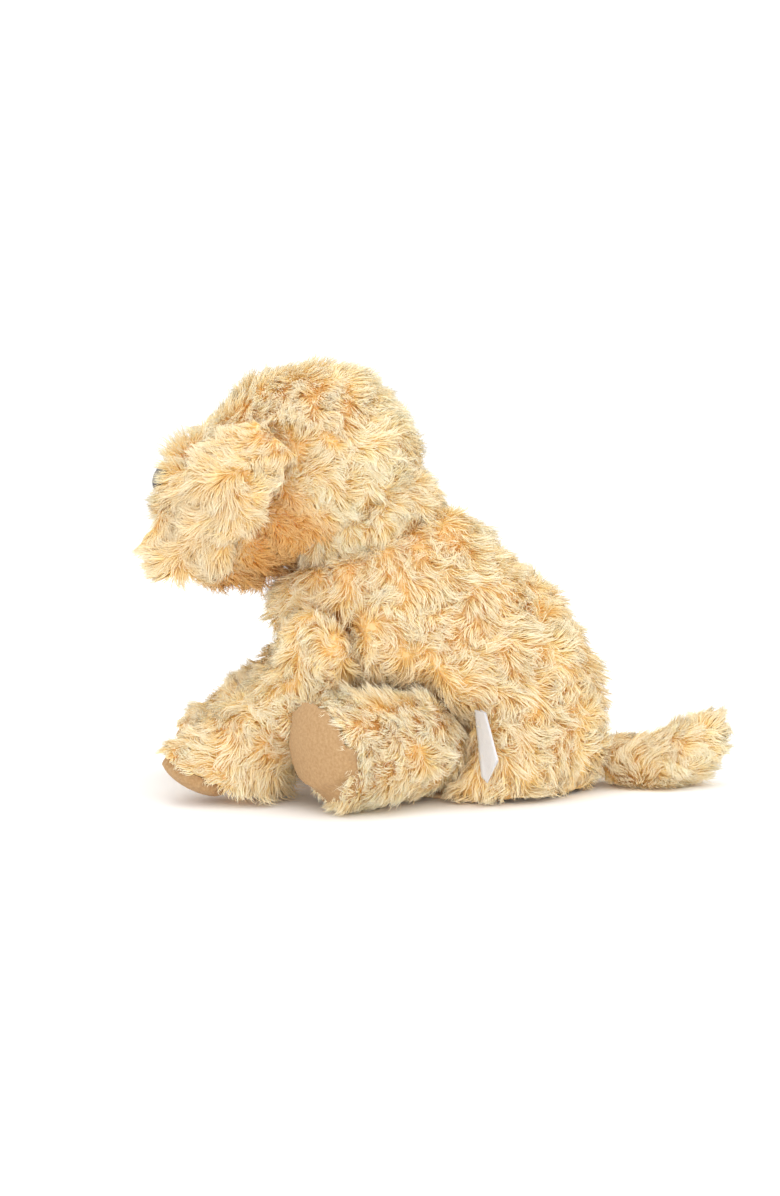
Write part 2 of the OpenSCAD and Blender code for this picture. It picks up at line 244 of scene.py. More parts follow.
def fur_material():
    m, nt, b = material("curly_fur")
    a = nt.nodes.new("ShaderNodeAttribute")
    a.attribute_name = "tint"
    tc = nt.nodes.new("ShaderNodeTexCoord")
    n = node(nt, "ShaderNodeTexNoise", Scale=900.0, Detail=2.0)
    nt.links.new(tc.outputs["Object"], n.inputs["Vector"])
    r = ramp(nt, n.outputs["Fac"], [(0.3, (0.985, 0.955, 0.90)), (0.7, (1.0, 1.0, 1.0))])
    mx = nt.nodes.new("ShaderNodeMix")
    mx.data_type = "RGBA"
    mx.blend_type = "MULTIPLY"
    mx.inputs["Factor"].default_value = 1.0
    nt.links.new(a.outputs["Color"], mx.inputs[6])
    nt.links.new(r.outputs["Color"], mx.inputs[7])
    nt.links.new(mx.outputs[2], b.inputs["Base Color"])
    b.inputs["Roughness"].default_value = 0.7
    b.inputs["Specular IOR Level"].default_value = 0.05
    b.inputs["Sheen Weight"].default_value = 0.10
    b.inputs["Sheen Roughness"].default_value = 0.45
    b.inputs["Sheen Tint"].default_value = (1.0, 0.90, 0.72, 1)
    return m


M_FUR = fur_material()
M_BACK = noise_mat("fur_backing", 260.0, 3.0, [(0.3, (0.93, 0.65, 0.30)), (0.7, (0.96, 0.76, 0.42))], 0.9, 0.6, 1500.0)
M_SUEDE = noise_mat("sole_suede", 620.0, 6.0, [(0.30, (0.40, 0.235, 0.108)), (0.70, (0.52, 0.335, 0.172))], 0.9, 0.8, 1900.0, sheen=0.12, spec=0.08)
M_SEAT = noise_mat("seat_cloth", 120.0, 4.0, [(0.3, (0.62, 0.42, 0.22)), (0.7, (0.72, 0.51, 0.29))], 0.9, 0.6, 2000.0, sheen=0.3, spec=0.2)
M_LINING = noise_mat("ear_lining", 160.0, 4.0, [(0.3, (0.72, 0.52, 0.30)), (0.7, (0.84, 0.66, 0.43))], 0.9, 0.7, 2200.0, sheen=0.4, spec=0.2)
M_FILL = noise_mat("fibre_filling", 300.0, 6.0, [(0.3, (0.80, 0.80, 0.78)), (0.7, (0.93, 0.93, 0.91))], 1.0, 1.0, 900.0)
M_POUCH = noise_mat("pouch_cloth", 700.0, 2.0, [(0.3, (0.70, 0.70, 0.67)), (0.7, (0.80, 0.80, 0.77))], 0.9, 0.5, 2500.0)
M_PELLET = noise_mat("pellets", 350.0, 1.0, [(0.4, (0.60, 0.60, 0.57)), (0.6, (0.78, 0.78, 0.75))], 0.4, 1.0, 350.0)
M_WASHER = noise_mat("washer_plastic", 200.0, 2.0, [(0.3, (0.74, 0.74, 0.71)), (0.7, (0.80, 0.80, 0.77))], 0.45, 0.15, 900.0)
M_THREAD = noise_mat("stitch_thread", 500.0, 2.0, [(0.3, (0.60, 0.41, 0.22)), (0.7, (0.74, 0.54, 0.32))], 0.7, 0.4, 3000.0)


def eye_material():
    m, nt, b = material("eye_plastic")
    tc = nt.nodes.new("ShaderNodeTexCoord")
    n = node(nt, "ShaderNodeTexNoise", Scale=120.0, Detail=3.0)
    nt.links.new(tc.outputs["Object"], n.inputs["Vector"])
    r = ramp(nt, n.outputs["Fac"], [(0.35, (0.006, 0.004, 0.003)), (0.7, (0.022, 0.012, 0.007))])
    nt.links.new(r.outputs["Color"], b.inputs["Base Color"])
    b.inputs["Roughness"].default_value = 0.12
    b.inputs["Coat Weight"].default_value = 0.6
    b.inputs["Coat Roughness"].default_value = 0.05
    return m


M_EYE = eye_material()
M_NOSE = noise_mat("nose_plastic", 400.0, 4.0, [(0.3, (0.035, 0.026, 0.024)), (0.7, (0.075, 0.058, 0.052))], 0.42, 0.5, 1400.0, spec=0.45)


def satin_material():
    m, nt, b = material("label_satin")
    tc = nt.nodes.new("ShaderNodeTexCoord")
    w = node(nt, "ShaderNodeTexWave", Scale=900.0, Distortion=0.6, Detail=2.0)
    w.bands_direction = "Z"
    nt.links.new(tc.outputs["Object"], w.inputs["Vector"])
    r = ramp(nt, w.outputs["Fac"], [(0.2, (0.66, 0.66, 0.69)), (0.8, (0.76, 0.76, 0.78))])
    nt.links.new(r.outputs["Color"], b.inputs["Base Color"])
    bp = node(nt, "ShaderNodeBump", Strength=0.25, Distance=0.0001)
    nt.links.new(w.outputs["Fac"], bp.inputs["Height"])
    nt.links.new(bp.outputs["Normal"], b.inputs["Normal"])
    b.inputs["Roughness"].default_value = 0.38
    b.inputs["Sheen Weight"].default_value = 0.3
    return m


M_SATIN = satin_material()


def paint(ob, mat):
    ob.data.materials.clear()
    ob.data.materials.append(mat)


# ---------------------------------------------------------------- fur
ROOT = np.array([0.974, 0.645, 0.19])
MID = np.array([0.976, 0.820, 0.470])
TIP = np.array([0.976, 0.886, 0.70])
RINGS = np.array([0.0, 0.36, 0.72, 1.0])  # the last is the tip
MAX_STRANDS = 11800  # 16 triangles each, so a piece stays under 200,000


def surface_samples(V, F, N, n, rng, weight=None):
    a, b, c = V[F[:, 0]], V[F[:, 1]], V[F[:, 2]]
    area = 0.5 * np.linalg.norm(np.cross(b - a, c - a), axis=1)
    if weight is not None:
        area = area * weight((a + b + c) / 3, unit(N[F].sum(1)))
    total = area.sum()
    cum = np.cumsum(area) / total
    k = np.minimum(np.searchsorted(cum, rng.random(n)), len(F) - 1)
    r1, r2 = np.sqrt(rng.random((n, 1))), rng.random((n, 1))
    w = np.concatenate([1 - r1, r1 * (1 - r2), r1 * r2], 1)
    P = w[:, :1] * a[k] + w[:, 1:2] * b[k] + w[:, 2:] * c[k]
    Q = unit((N[F[k]] * w[:, :, None]).sum(1))
    return P, Q, total


def spread_out(P, r):
    """Indices of a subset of P with no two closer than r."""
    keys = np.floor(P / r).astype(int).tolist()
    grid, keep, r2 = {}, [], r * r
    pts = P.tolist()
    near = [(i, j, k) for i in (-1, 0, 1) for j in (-1, 0, 1) for k in (-1, 0, 1)]
    for i, (a, b, c) in enumerate(keys):
        x, y, z = pts[i]
        ok = True
        for da, db, dc in near:
            for q in grid.get((a + da, b + db, c + dc), ()):
                p = pts[q]
                if (p[0] - x) ** 2 + (p[1] - y) ** 2 + (p[2] - z) ** 2 < r2:
                    ok = False
                    break
            if not ok:
                break
        if ok:
            grid.setdefault((a, b, c), []).append(i)
            keep.append(i)
    return np.array(keep, int)


def smooth_noise(P, scale, seed):
    off = Vector((seed * 7.31, seed * 3.17, seed * 5.53))
    return np.array([noise.noise(Vector(p) / scale + off) for p in P.tolist()])


def rotate_about(t, n, ang):
    c, s = np.cos(ang)[:, None], np.sin(ang)[:, None]
    return t * c + np.cross(n, t) * s + n * (np.sum(n * t, 1, keepdims=True)) * (1 - c)


def strands_mesh(name, P, U, W, width, col, soft):
    """Closed tapered three-sided tubes.  P (n,4,3), U and W cross vectors (n,4,3), width (n,4)."""
    n = len(P)
    ang = np.radians([90, 210, 330])
    verts = np.empty((n, 10, 3), np.float32)
    cols = np.ones((n, 10, 4), np.float32)
    for k in range(3):
        for j in range(3):
            verts[:, 3 * k + j] = P[:, k] + width[:, k, None] * (
                math.cos(ang[j]) * U[:, k] + math.sin(ang[j]) * W[:, k] * 0.75)
            cols[:, 3 * k + j, :3] = col[:, k]
    verts[:, 9] = P[:, 3]
    cols[:, 9, :3] = col[:, 3]
    verts[:, :, 2] = np.maximum(verts[:, :, 2], 0.0003)
    quads = [[3 * k + j, 3 * k + (j + 1) % 3, 3 * k + 3 + (j + 1) % 3, 3 * k + 3 + j] for k in range(2) for j in range(3)]
    tris = [[6 + j, 6 + (j + 1) % 3, 9] for j in range(3)] + [[2, 1, 0]]
    loops = np.array([i for q in quads for i in q] + [i for t in tris for i in t], np.int32)
    starts = np.array([4 * i for i in range(6)] + [24 + 3 * i for i in range(4)], np.int32)
    nl, nf = len(loops), len(starts)
    me = bpy.data.meshes.new(name)
    me.vertices.add(n * 10)
    me.vertices.foreach_set("co", verts.ravel())
    me.loops.add(n * nl)
    me.loops.foreach_set("vertex_index", (loops[None] + 10 * np.arange(n, dtype=np.int32)[:, None]).ravel())
    me.polygons.add(n * nf)
    me.polygons.foreach_set("loop_start", (starts[None] + nl * np.arange(n, dtype=np.int32)[:, None]).ravel())
    me.polygons.foreach_set("use_smooth", np.ones(n * nf, bool))
    att = me.attributes.new("tint", "FLOAT_COLOR", "POINT")
    att.data.foreach_set("color", cols.ravel())
    # each strand has its own cell of the map, root at the bottom and tip at the top
    side = int(math.ceil(math.sqrt(n)))
    vk = np.array([*np.repeat([0.1, 0.42, 0.74], 3), 0.94])
    uk = np.array([0.2, 0.5, 0.8] * 3 + [0.5])
    cell = np.arange(n)
    uv = np.empty((n, nl, 2), np.float32)
    uv[:, :, 0] = ((cell % side)[:, None] + uk[loops][None]) / side
    uv[:, :, 1] = ((cell // side)[:, None] + vk[loops][None]) / side
    layer = me.uv_layers.new(name="OFBake")
    layer.data.foreach_set("uv", uv.ravel())
    me.update(calc_edges=True)
    # the pile catches light as one soft surface, so its normals lean to those of the skin
    nor = np.empty((n, 10, 3))
    for k in range(3):
        for j in range(3):
            nor[:, 3 * k + j] = 0.9 * (math.cos(ang[j]) * U[:, k] + math.sin(ang[j]) * W[:, k]) + 0.25 * soft
    nor[:, 9] = soft
    me.normals_split_custom_set_from_vertices(unit(nor.reshape(-1, 3)).tolist())
    return me


def grow(name, skin, count, body, comb, length=13, lock=5.0, swirl=2.0, swirl_scale=30, seed=1,
         weight=None, trim=None, lift=(64, 6), curl=1.0, thick=0.30, pull=0.42, stray=0.10, split=None,
         tone=1.0, jitter=0.7, whorl=26, whorl_amount=1.0, tint=None, rise=None):
    """Clumped wavy strands over a skin.  comb(P, N) is the way the pile is brushed; trim(P, N) scales its length."""
    rng = np.random.default_rng(seed)
    V, F = mesh_arrays(skin.data)
    N = vertex_normals(V, F)
    # lock centres
    a, b, c = V[F[:, 0]], V[F[:, 1]], V[F[:, 2]]
    area = 0.5 * np.linalg.norm(np.cross(b - a, c - a), axis=1).sum()
    want = int(area / (lock * MM) ** 2 * 5)
    C, CN, _ = surface_samples(V, F, N, want, rng, weight)
    keep = spread_out(C, lock * MM)
    C, CN = C[keep], CN[keep]
    m = len(C)
    t0 = comb(C, CN)
    t0 = unit(t0 - CN * np.sum(t0 * CN, 1, keepdims=True) + 1e-6)
    phi = swirl * 1.2 * smooth_noise(C, swirl_scale * MM, seed) + rng.normal(0, 0.20, m)
    t0 = rotate_about(t0, CN, phi)
    # rosettes: round each centre the pile fans out, a little turned to one side
    if whorl:
        wc = spread_out(C, whorl * MM)
        wk = kdtree.KDTree(len(wc))
        for i, q in enumerate(wc.tolist()):
            wk.insert(C[q], i)
        wk.balance()
        turn = rng.uniform(-1.5, 1.5, len(wc))
        force = rng.uniform(0.15, 1.0, len(wc))
        add = np.zeros_like(t0)
        for i, p in enumerate(C.tolist()):
            for _, k, d in wk.find_n(p, 2):
                e = np.array(p) - C[wc[k]]
                e = e - CN[i] * np.dot(e, CN[i])
                e = e / max(np.linalg.norm(e), 1e-6)
                f = np.cross(CN[i], e)
                add[i] += force[k] * math.exp(-(d / (0.46 * whorl * MM)) ** 2) * (math.cos(turn[k]) * e + math.sin(turn[k]) * f)
        t0 = unit(t0 + add * 2.2 * whorl_amount)
    b0 = np.cross(CN, t0)
    # lock paths: rising from the skin, bending over and curling
    S = 24
    s = (np.arange(S) + 0.5) / S
    tuft = smooth_noise(C, 0.013, seed + 9)  # tufts that stand up among flatter pile
    up = lift[1] + 34 * tuft + rng.normal(0, 10, m)
    if rise is not None:
        up = up + rise(C)
    e0 = np.radians(lift[0] + 14 * tuft + rng.normal(0, 6, m))[:, None]
    e1 = np.radians(np.clip(up, -25, 78))[:, None]
    el = e0 + (e1 - e0) * s[None] ** 0.75
    sign = np.clip(5 * smooth_noise(C, swirl_scale * 0.7 * MM, seed + 11), -1, 1)
    kap = sign * curl * rng.uniform(0.7, 1.3, m) + rng.normal(0, 0.22, m)
    wave = rng.uniform(0, 6.28, m)
    psi = kap[:, None] * s[None] ** 1.3 * 1.6 + 0.35 * np.sin(wave[:, None] + s[None] * 7.5)
    Lk = length * MM * rng.uniform(0.86, 1.14, m) * (1 + 0.35 * tuft)
    if trim is not None:
        Lk = Lk * trim(C, CN)
    step = (t0[:, None] * (np.cos(el) * np.cos(psi))[..., None] + b0[:, None] * (np.cos(el) * np.sin(psi))[..., None]
            + CN[:, None] * np.sin(el)[..., None]) / S
    path = np.concatenate([np.zeros((m, 1, 3)), np.cumsum(step, 1)], 1)
    at = np.round(RINGS * S).astype(int)
    path = path[:, at]  # unit length
    bright = rng.normal(0, 0.05, m) + 0.10 * smooth_noise(C, 0.045, seed + 5)
    warm = rng.normal(0, 0.02, m)
    # strands
    P, Q, _ = surface_samples(V, F, N, count, rng, weight)
    kd = kdtree.KDTree(m)
    for i, p in enumerate(C.tolist()):
        kd.insert(p, i)
    kd.balance()
    near = [kd.find_n(p, 3) for p in P.tolist()]
    ids = np.array([[q[1] for q in r] for r in near], int)
    dst = np.array([[q[2] for q in r] for r in near])
    own = ids[:, 0]
    share = np.exp(-(dst / (0.62 * lock * MM)) ** 2) + 1e-6
    share = share / share.sum(1, keepdims=True)
    keep = Lk[own] > 0.0015
    P, Q, own, ids, share = P[keep], Q[keep], own[keep], ids[keep], share[keep]
    n = len(P)
    loose = rng.random(n) < stray
    L = (Lk[ids] * share).sum(1) * np.where(loose, rng.uniform(0.7, 1.12, n), rng.uniform(0.74, 1.1, n))
    D = (path[ids] * share[:, :, None, None]).sum(1) * L[:, None, None]
    rs = RINGS[None, :, None]
    to = C[own] - P
    to = to - Q * np.sum(to * Q, 1, keepdims=True)
    g = np.where(loose, 0.1, pull * rng.uniform(0.75, 1.15, n))[:, None, None]
    X = P[:, None] + D + to[:, None] * g * rs ** 1.15
    jit = rng.normal(0, 1, (n, 3))
    amount = (np.where(loose, 0.32, 0.10) * jitter)[:, None] * L[:, None]
    X = X + (jit * amount)[:, None] * rs ** 1.4
    # fine frizz along the strand
    ph = rng.uniform(0, 6.28, (n, 1, 1))
    side = unit(np.cross(D[:, -1], Q) + 1e-9)[:, None]
    X = X + side * np.sin(ph + rs * rng.uniform(4, 9, (n, 1, 1))) * 0.0005 * rs * jitter
    # never back under the skin it grows from
    h = np.sum((X - P[:, None]) * Q[:, None], 2)
    X = X + Q[:, None] * np.maximum(0, 0.0008 * rs[..., 0] - h)[..., None]
    # the floor pushes the pile up
    X[..., 2] = np.where(X[..., 2] < 0.004, 0.0006 + 0.0034 * np.exp((np.minimum(X[..., 2], 0.004) - 0.004) / 0.0034), X[..., 2])
    T = np.empty_like(X)
    T[:, 1:-1] = X[:, 2:] - X[:, :-2]
    T[:, 0] = X[:, 1] - X[:, 0]
    T[:, -1] = X[:, -1] - X[:, -2]
    T = unit(T)
    ref = unit(Q + 0.35 * rng.normal(0, 1, (n, 3)))
    U = unit(np.cross(T, ref[:, None]) + 1e-7)
    W = np.cross(T, U)
    wd = thick * MM * rng.uniform(0.65, 1.2, n) * np.where(loose, 0.5, 1.0)
    prof = np.array([0.9, 1.0, 0.72, 0.0])
    width = wd[:, None] * prof[None]
    shade = (0.5 * bright[own] + rng.normal(0, 0.04, n))
    ks = np.array([0.0, 0.42, 0.82, 1.0])[None, :, None]
    col = np.where(ks < 0.6, ROOT + (MID - ROOT) * np.minimum(ks / 0.6, 1), MID + (TIP - MID) * (ks - 0.6) / 0.4)
    col = np.broadcast_to(col, (n, 4, 3)) * (1 + shade[:, None, None] * np.array([0.35, 0.9, 1.5])) * tone
    col = col * (1 + (warm[own] + rng.normal(0, 0.015, n))[:, None, None] * np.array([0.0, -0.4, -1.2]))
    if tint is not None:
        col = col * tint(P)[:, None, :]
    col = np.clip(col, 0.02, 0.985)
    # pieces: by panel, then by number
    group = np.zeros(n, int) if split is None else split(P)
    names = [""] if split is None else split.names
    made = []
    for gi, gname in enumerate(names):
        idx = np.flatnonzero(group == gi)
        if not len(idx):
            continue
        idx = idx[np.argsort(P[idx, 2], kind="stable")]
        parts = int(math.ceil(len(idx) / MAX_STRANDS))
        for k, part in enumerate(np.array_split(idx, parts)):
            label = name + (f"_{gname}" if gname else "") + (f"_{k + 1}" if parts > 1 else "")
            me = strands_mesh(label, X[part], U[part], W[part], width[part], col[part], Q[part])
            ob = new_object(label, me)
            me.materials.append(M_FUR)
            if body:
                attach(ob, body)
            made.append(ob)
    print("FUR", name, "locks", m, "strands", n, "pieces", len(made))
    return made


class Split:
    def __init__(self, names, fn):
        self.names, self.fn = names, fn

    def __call__(self, P):
        return self.fn(P)


def finish_skin(ob, body, nodes, mat=None, cap=0.0015):
    """A stuffed skin: painted, shaded smooth and fixed to its body, with its CAD nodes hidden."""
    paint(ob, mat or M_BACK)
    for p in ob.data.polygons:
        p.use_smooth = True
    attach(ob, body)
    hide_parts(*nodes)


NECK = np.array([0, -72.2, 157.7]) * MM
HEAD = np.array([0, -96, 197]) * MM
FACE = unit([0, -0.927, -0.375])
CROWN = unit([0, -0.375, 0.927])
SHOULDER = np.array([46, -109, 86]) * MM
HIP = np.array([54, -46, 34]) * MM
TAIL = np.array([0, 76, 16]) * MM
EAR = np.array([54, -123, 213]) * MM
SPLAY = math.radians(36)
HIND = np.array([math.sin(SPLAY), -math.cos(SPLAY), 0])
NECK_AXIS = unit([0, -0.518, 0.855])
FRONT = unit([0.0, -0.707, -0.707])
EAR_AXIS = unit([-0.427, -0.695, 0.576])
EAR_DIR = unit([-0.05, -0.68, -0.73])
EAR_OUT = unit(np.cross(EAR_AXIS, EAR_DIR))
MIRROR = np.array([-1, 1, 1])


def const_comb(v):
    v = np.asarray(v, float)
    return lambda P, N: np.broadcast_to(v, P.shape).copy()


# ---------------------------------------------------------------- torso
torso = union_skin("torso_skin", ["torso_side_left", "torso_side_right", "belly_gusset", "torso_filling", "bean_pouch"], 0.005, 6)
inset(torso, 0.0045)
V, F = mesh_arrays(torso.data)


def bump(V, y, z, r):
    return np.exp(-((V[:, 1] - y) ** 2 + (V[:, 2] - z) ** 2) / r ** 2)[:, None]


# the sitting weight flattens the upper back, fills the rump and spreads the seat
V = V - np.array([0, 0.62, 0.78]) * 0.0042 * bump(V, 0.018, 0.137, 0.036) + np.array([0, 0.9, 0.25]) * 0.0026 * bump(V, 0.066, 0.068, 0.036)
V = V + np.array([0, -0.0032, 0]) * bump(V, -0.128, 0.118, 0.020) + np.array([0, 0.3, 0.9]) * 0.0030 * bump(V, -0.022, 0.160, 0.014)
V[:, 2] -= 0.0036 * (1 - smooth01(V[:, 2], 0.006, 0.030))
V[:, 2] = np.maximum(V[:, 2], 0.0014)
set_coords(torso.data, V)
inflate(torso, 0.0015)
finish_skin(torso, "torso", ["torso_side_left", "torso_side_right", "belly_gusset", "torso_filling"])


def torso_weight(P, N):
    w = np.ones(len(P))
    w[(P[:, 2] < 0.006) & (N[:, 2] < -0.8)] = 0.0  # the flat seat
    d = np.linalg.norm(P - NECK, axis=1)
    w[(d < 0.034)] = 0.0  # inside the neck cup
    return w


def torso_trim(P, N):
    f = np.ones(len(P))
    # short where a leg lies in its hollow
    for m in (1, -1):
        hip, sh = HIP * [m, 1, 1], SHOULDER * [m, 1, 1]
        dh, ds = np.linalg.norm(P - hip, axis=1), np.linalg.norm(P - sh, axis=1)
        f = np.minimum(f, 0.6 + 0.4 * smooth01(dh, 0.029, 0.034)) * (1 + 0.35 * smooth01(dh, 0.030, 0.036) * (1 - smooth01(dh, 0.042, 0.056)))
        f = np.minimum(f, 0.6 + 0.4 * smooth01(ds, 0.025, 0.029)) * (1 + 0.30 * smooth01(ds, 0.026, 0.031) * (1 - smooth01(ds, 0.036, 0.048)))
    f = np.minimum(f, 0.4 + 0.6 * smooth01(np.linalg.norm(P - TAIL, axis=1), 0.016, 0.026))
    f = f * (1 + 0.35 * (1 - smooth01(P[:, 2], 0.008, 0.024)) * (N[:, 2] > -0.8))
    d = np.linalg.norm(P - HEAD, axis=1)
    return np.minimum(f, 0.55 + 0.45 * smooth01(d, 0.058, 0.075))


def torso_comb(P, N):
    return np.stack([0.15 * np.sign(P[:, 0]), 0.35 + 0 * P[:, 1], -1.0 + 0 * P[:, 2]], 1)


torso_split = Split(["left", "right", "belly"], lambda P: np.where(
    (P[:, 1] < -0.075 - 0.35 * (P[:, 2] - 0.05)) & (np.abs(P[:, 0]) < 0.036), 2, np.where(P[:, 0] > 0, 0, 1)))
grow("torso_fur", torso, 68000, "torso", torso_comb, length=15.5, lock=4.2, swirl=2.4, swirl_scale=19, seed=3,
     weight=torso_weight, trim=torso_trim, split=torso_split, whorl=22, whorl_amount=0.75)

# ---------------------------------------------------------------- head
head = union_skin("head_skin", ["head_side_left", "head_side_right", "head_gusset", "muzzle_panel", "head_filling"], 0.0045, 5)
inset(head, 0.0045)
V, F = mesh_arrays(head.data)
sag = smooth01(-V[:, 1], 0.110, 0.140) * smooth01(-(V[:, 2] - 0.165), -0.010, 0.030)
V[:, 2] -= 0.0055 * sag
# rounder brow, flatter back of the head, muzzle pile pushed forward round the nose
V[:, 1] -= 0.0030 * smooth01(V[:, 1], -0.115, -0.080) + 0.0045 * smooth01(V[:, 2], 0.205, 0.240)
V = V + np.array([0, -0.0020, 0.0030]) * bump(V, -0.142, 0.232, 0.020)
nd = np.linalg.norm(V - (HEAD + 95.5 * MM * FACE + 26 * MM * CROWN), axis=1)
V = V + FACE * (0.0034 * smooth01(nd, 0.006, 0.011) * (1 - smooth01(nd, 0.018, 0.032)))[:, None]
set_coords(head.data, V)
inflate(head, 0.0015)
finish_skin(head, "head", ["head_side_left", "head_side_right", "head_gusset", "muzzle_panel", "head_filling"])
EYE = np.array([37.9, 0, 0]) * MM + HEAD + 46 * MM * FACE + 24 * MM * CROWN
NOSE = HEAD + 95.5 * MM * FACE + 26 * MM * CROWN


def head_weight(P, N):
    w = np.ones(len(P))
    w[np.linalg.norm(P - NECK, axis=1) < 0.030] = 0.0
    for m in (1, -1):
        w[np.linalg.norm(P - EYE * [m, 1, 1], axis=1) < 0.0065] = 0.0
    return w


def head_trim(P, N):
    f = np.ones(len(P))
    for m in (1, -1):
        q = P - EAR * [m, 1, 1]
        s, a = q @ (EAR_DIR * [m, 1, 1]), q @ (EAR_AXIS * [m, 1, 1])
        under = smooth01(s, -0.004, 0.006) * (1 - smooth01(s, 0.078, 0.092)) * (1 - smooth01(np.abs(a - 0.004), 0.016, 0.026))
        f = np.minimum(f, 1 - 0.58 * under * (P[:, 0] * m > 0.012))
        cheek = smooth01(s, 0.012, 0.028) * (1 - smooth01(s, 0.098, 0.112)) * smooth01(-a, 0.008, 0.018) * (1 - smooth01(-a, 0.034, 0.050))
        f = np.minimum(f, 1 - 0.42 * cheek * (P[:, 0] * m > 0.012))
    for m in (1, -1):
        f = np.minimum(f, 0.25 + 0.75 * smooth01(np.linalg.norm(P - EYE * [m, 1, 1], axis=1), 0.006, 0.020))
    d = np.linalg.norm(P - NOSE, axis=1)
    f = np.minimum(f, 0.15 + 0.85 * smooth01(d, 0.009, 0.014)) * (1 + 0.40 * smooth01(d, 0.010, 0.014) * (1 - smooth01(d, 0.020, 0.030)))
    d = np.linalg.norm(P - NECK, axis=1)
    f = np.minimum(f, 0.5 + 0.5 * smooth01(d, 0.030, 0.055))
    jaw = smooth01(-N[:, 2], 0.35, 0.9) * smooth01(-P[:, 1], 0.112, 0.135)
    return f * (1 + 0.35 * jaw)


def head_painted_shade(P):
    """Painted shade: the fur behind each ear and under the jaw is darkened and made more orange, standing in for the
    shadow of the ear and the jaw.
    """
    k = np.zeros(len(P))
    for m in (1, -1):
        q = P - EAR * [m, 1, 1]
        s, a = q @ (EAR_DIR * [m, 1, 1]), q @ (EAR_AXIS * [m, 1, 1])
        cheek = smooth01(s, 0.010, 0.030) * smooth01(-a, 0.004, 0.016) * (1 - smooth01(-a, 0.040, 0.064))
        k = np.maximum(k, cheek * (P[:, 0] * m > 0.008))
    jaw = smooth01(-(P[:, 2] - 0.150), 0.0, 0.022) * smooth01(-P[:, 1], 0.095, 0.125)
    k = np.maximum(k, jaw)[:, None]
    return 1 - k * np.array([0.05, 0.28, 0.55])


def head_rise(P):
    return 62 * (1 - smooth01(np.linalg.norm(P - NOSE, axis=1), 0.017, 0.030)) * (1 - 0.8 * smooth01((P - NOSE) @ CROWN, 0.004, 0.018))


def head_comb(P, N):
    v = P - (NOSE + 0.02 * CROWN)
    base = unit(v) * 0.8 + np.array([0, 0, -0.55])
    for m in (1, -1):
        d = P - EYE * [m, 1, 1]
        k = 1 - smooth01(np.linalg.norm(d, axis=1), 0.010, 0.026)
        base = base + unit(d) * 2.0 * k[:, None]
    return base


head_split = Split(["left", "right", "crown", "muzzle"], lambda P: np.where(
    (P - HEAD) @ FACE > 0.050, 3, np.where(((P - HEAD) @ CROWN > 0.030) & (np.abs(P[:, 0]) < 0.026), 2, np.where(P[:, 0] > 0, 0, 1))))
# the tint passed here darkens the cheek and jaw fur as painted shade
grow("head_fur", head, 50000, "head", head_comb, length=14.5, lock=4.0, rise=head_rise, tint=head_painted_shade, whorl=21, whorl_amount=0.85, swirl=2.3, swirl_scale=18, seed=7,
     weight=head_weight, trim=head_trim, split=head_split)

